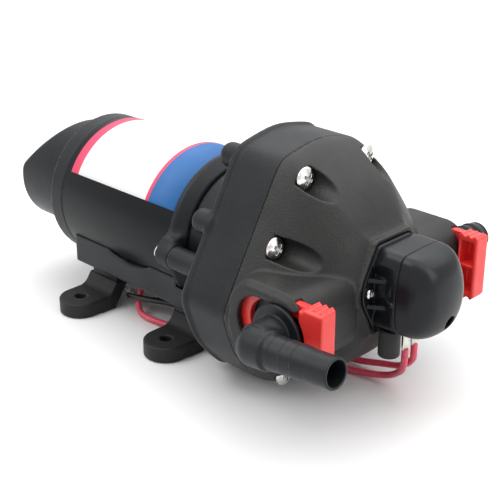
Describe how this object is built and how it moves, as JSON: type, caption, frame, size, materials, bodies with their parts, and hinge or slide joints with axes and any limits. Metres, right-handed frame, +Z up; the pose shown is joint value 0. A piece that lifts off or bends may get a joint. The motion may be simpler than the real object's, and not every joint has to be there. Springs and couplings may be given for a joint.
{
  "type": "diaphragm water pump",
  "caption": "Low-voltage diaphragm water pump with a round motor, a domed head, a pressure switch, hose barbs held by slide clips, and rubber feet.",
  "frame": {"origin": "middle of the four foot holes, on the plane that the feet stand on", "axes": "+X along the motor axis towards the pressure switch, +Z up, +Y towards the straight hose barb"},
  "size_m": [0.2181, 0.146, 0.0953],
  "materials": {
    "satin_black_plastic": "satin moulded",
    "head_plastic": "satin moulded, fine grain",
    "fitting_plastic": "satin moulded",
    "motor_paint": "satin black paint",
    "label_film": "printed film",
    "ferrite": "ground ceramic magnet",
    "sintered_bronze": "sintered",
    "phenolic_board": "pressed laminate",
    "carbon": "pressed carbon",
    "copper": "bare and enamelled copper",
    "bright_steel": "ground",
    "plated_steel": "bright plated",
    "cast_zinc": "as cast",
    "pale_acetal": "moulded",
    "dark_acetal": "moulded",
    "black_rubber": "moulded",
    "red_plastic": "moulded",
    "brown_phenolic": "moulded",
    "red_insulation": "extruded",
    "black_insulation": "extruded"
  },
  "bodies": {
    "base": {"tail_cap": "satin_black_plastic", "drive_housing": "satin_black_plastic", "base_saddle": "satin_black_plastic", "switch_base": "satin_black_plastic", "switch_cap": "satin_black_plastic", "front_bell": "satin_black_plastic", "pump_head": "head_plastic", "terminal_block": "fitting_plastic", "motor_can": "motor_paint", "rating_label": "label_film", "field_magnet_near": "ferrite", "field_magnet_far": "ferrite", "rear_bush": "sintered_bronze", "brush_plate": "phenolic_board", "carbon_brushes": "carbon", "front_bearing": "bright_steel", "motor_screws": "plated_steel", "saddle_screws": "plated_steel", "head_screws": "plated_steel", "switch_screws": "plated_steel", "terminal_screw": "plated_steel", "terminal_tabs": "plated_steel", "calibration_screw": "plated_steel", "switch_spring": "plated_steel", "valve_plate": "pale_acetal", "foot_near_rear": "black_rubber", "foot_near_front": "black_rubber", "foot_far_rear": "black_rubber", "foot_far_front": "black_rubber", "diaphragm": "black_rubber", "inlet_valves": "black_rubber", "outlet_valve": "black_rubber", "switch_diaphragm": "black_rubber", "lead_grommet": "black_rubber", "microswitch": "brown_phenolic", "red_link_lead": "red_insulation", "red_supply_lead": "red_insulation", "black_supply_lead": "black_insulation"},
    "rotor": {"motor_shaft": "bright_steel", "armature_core": "bright_steel", "armature_coils": "copper", "commutator": "copper", "cam_hub": "cast_zinc"},
    "wobble": {"wobble_plate": "pale_acetal", "cam_bearing": "bright_steel", "piston_caps": "dark_acetal", "piston_screws": "plated_steel"},
    "near_clip": {"near_clip": "red_plastic"},
    "far_clip": {"far_clip": "red_plastic"},
    "elbow": {"elbow_barb": "fitting_plastic", "near_o_ring": "black_rubber"},
    "straight": {"straight_barb": "fitting_plastic", "far_o_ring": "black_rubber"},
    "plunger": {"switch_plunger": "pale_acetal"}
  },
  "joints": [
    {"name": "rotor_spin", "type": "hinge", "parent": "base", "child": "rotor", "pos_m": [0, 0, 0.0455], "axis": [1, 0, 0], "continuous": true, "deforming": ["diaphragm"]},
    {"name": "wobble_turn", "type": "hinge", "parent": "rotor", "child": "wobble", "pos_m": [0.07, 0, 0.0455], "axis": [0.9986, 0, 0.0523], "continuous": true},
    {"name": "near_clip_slide", "type": "slide", "parent": "base", "child": "near_clip", "axis": [1, 0, 0], "range_m": [0, 0.007]},
    {"name": "far_clip_slide", "type": "slide", "parent": "base", "child": "far_clip", "axis": [1, 0, 0], "range_m": [0, 0.007]},
    {"name": "elbow_swivel", "type": "hinge", "parent": "base", "child": "elbow", "pos_m": [0.103, -0.04, 0.0428], "axis": [0, 1, 0], "continuous": true},
    {"name": "straight_swivel", "type": "hinge", "parent": "base", "child": "straight", "pos_m": [0.103, 0.04, 0.0428], "axis": [0, 1, 0], "continuous": true},
    {"name": "plunger_slide", "type": "slide", "parent": "base", "child": "plunger", "axis": [1, 0, 0], "range_m": [0, 0.001], "stiffness_N_per_m": 800, "springref_m": -0.002, "deforming": ["switch_spring"]}
  ],
  "couplings": [
    {"joint": "wobble_turn", "follows": "rotor_spin", "ratio": -1}
  ]
}
